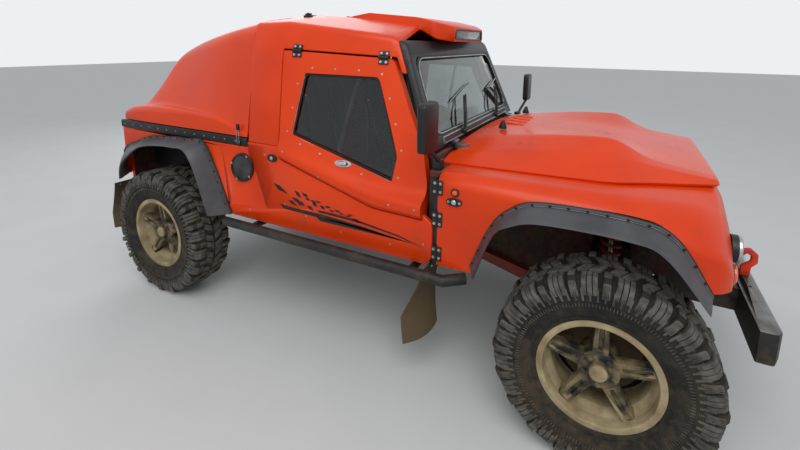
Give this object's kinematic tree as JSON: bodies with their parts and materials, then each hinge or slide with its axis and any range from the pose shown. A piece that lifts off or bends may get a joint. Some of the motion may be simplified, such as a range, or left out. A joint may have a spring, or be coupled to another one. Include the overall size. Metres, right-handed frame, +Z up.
{
  "type": "rally raid car",
  "caption": "Short off-road rally car with top-hinged doors, a fastback rear canopy, a roll cage and wide flares over mud tyres.",
  "frame": {"origin": "on the ground, under the middle of the car's length and width", "axes": "+X forwards, +Y to the car's left, +Z up"},
  "size_m": [3.624, 2.02, 1.757],
  "materials": {
    "paint": "gloss",
    "dark_paint": "satin",
    "spring_red": "satin",
    "orange_strap": "satin",
    "frame_black": "satin",
    "bare_metal": "satin",
    "castings": "matte",
    "alloy": "satin",
    "tyre": "matte",
    "black_rubber": "matte",
    "black_plastic": "matte",
    "clear_glass": "clear",
    "lamp_glass": "clear",
    "amber_lens": "gloss",
    "red_lens": "gloss",
    "seat_cloth": "matte"
  },
  "bodies": {
    "body": {"chassis": "frame_black", "axles": "castings", "suspension": "spring_red", "powertrain": "castings", "front_bumper": "bare_metal", "fairlead": "alloy", "tow_hook": "orange_strap", "floor_pans": "frame_black", "roll_cage": "frame_black", "windscreen_frame": "frame_black", "windscreen_glass": "clear_glass", "scuttle": "dark_paint", "hinge_posts": "frame_black", "hinges": "frame_black", "roof_shell": "paint", "lamp_bar": "lamp_glass", "body_sides": "paint", "side_vents": "black_plastic", "side_strips": "black_rubber", "wings": "paint", "flares": "black_rubber", "grille": "black_plastic", "radiator": "bare_metal", "headlamps": "lamp_glass", "indicators": "amber_lens", "tail_lamps": "red_lens", "mirrors": "black_plastic", "seats": "seat_cloth", "dashboard": "black_plastic", "sliders": "frame_black", "mud_flaps": "black_rubber", "wipers": "frame_black"},
    "door_left": {"door_left": "paint", "door_glass_left": "clear_glass"},
    "door_right": {"door_right": "paint", "door_glass_right": "clear_glass"},
    "bonnet": {"bonnet": "paint"},
    "rear_canopy": {"rear_canopy": "paint"},
    "steering_wheel": {"steering_wheel": "black_plastic"},
    "knuckle_left": {"knuckle_left": "castings"},
    "knuckle_right": {"knuckle_right": "castings"},
    "wheel_front_left": {"wheel_front_left": "alloy", "tyre_front_left": "tyre"},
    "wheel_front_right": {"wheel_front_right": "alloy", "tyre_front_right": "tyre"},
    "wheel_rear_left": {"wheel_rear_left": "alloy", "tyre_rear_left": "tyre"},
    "wheel_rear_right": {"wheel_rear_right": "alloy", "tyre_rear_right": "tyre"}
  },
  "joints": [
    {"name": "door_left_hinge", "type": "hinge", "parent": "body", "child": "door_left", "pos_m": [-0.285, 0.762, 1.545], "axis": [0.9838, -0.1707, -0.0555], "range_deg": [0, 75]},
    {"name": "door_right_hinge", "type": "hinge", "parent": "body", "child": "door_right", "pos_m": [-0.285, -0.762, 1.545], "axis": [-0.9838, -0.1707, 0.0555], "range_deg": [0, 75]},
    {"name": "bonnet_hinge", "type": "hinge", "parent": "body", "child": "bonnet", "pos_m": [0.484, 0, 1.106], "axis": [0, -1, 0], "range_deg": [0, 60]},
    {"name": "canopy_hinge", "type": "hinge", "parent": "body", "child": "rear_canopy", "pos_m": [-0.588, 0, 1.748], "axis": [0, 1, 0], "range_deg": [0, 50]},
    {"name": "steering_wheel_turn", "type": "hinge", "parent": "body", "child": "steering_wheel", "pos_m": [0.075, -0.33, 1.045], "axis": [-0.9063, 0, 0.4226], "range_deg": [-500, 500]},
    {"name": "steer_left", "type": "hinge", "parent": "body", "child": "knuckle_left", "pos_m": [1.22, 0.676, 0.395], "axis": [0, 0, 1], "range_deg": [-30, 30]},
    {"name": "steer_right", "type": "hinge", "parent": "body", "child": "knuckle_right", "pos_m": [1.22, -0.676, 0.395], "axis": [0, 0, 1], "range_deg": [-30, 30]},
    {"name": "spin_front_left", "type": "hinge", "parent": "knuckle_left", "child": "wheel_front_left", "pos_m": [1.22, 0.82, 0.395], "axis": [0, 1, 0], "continuous": true},
    {"name": "spin_front_right", "type": "hinge", "parent": "knuckle_right", "child": "wheel_front_right", "pos_m": [1.22, -0.82, 0.395], "axis": [0, 1, 0], "continuous": true},
    {"name": "spin_rear_left", "type": "hinge", "parent": "body", "child": "wheel_rear_left", "pos_m": [-1.32, 0.82, 0.395], "axis": [0, 1, 0], "continuous": true},
    {"name": "spin_rear_right", "type": "hinge", "parent": "body", "child": "wheel_rear_right", "pos_m": [-1.32, -0.82, 0.395], "axis": [0, 1, 0], "continuous": true}
  ],
  "couplings": [
    {"joint": "steer_right", "follows": "steer_left", "ratio": 1},
    {"joint": "steering_wheel_turn", "follows": "steer_left", "ratio": 16}
  ]
}
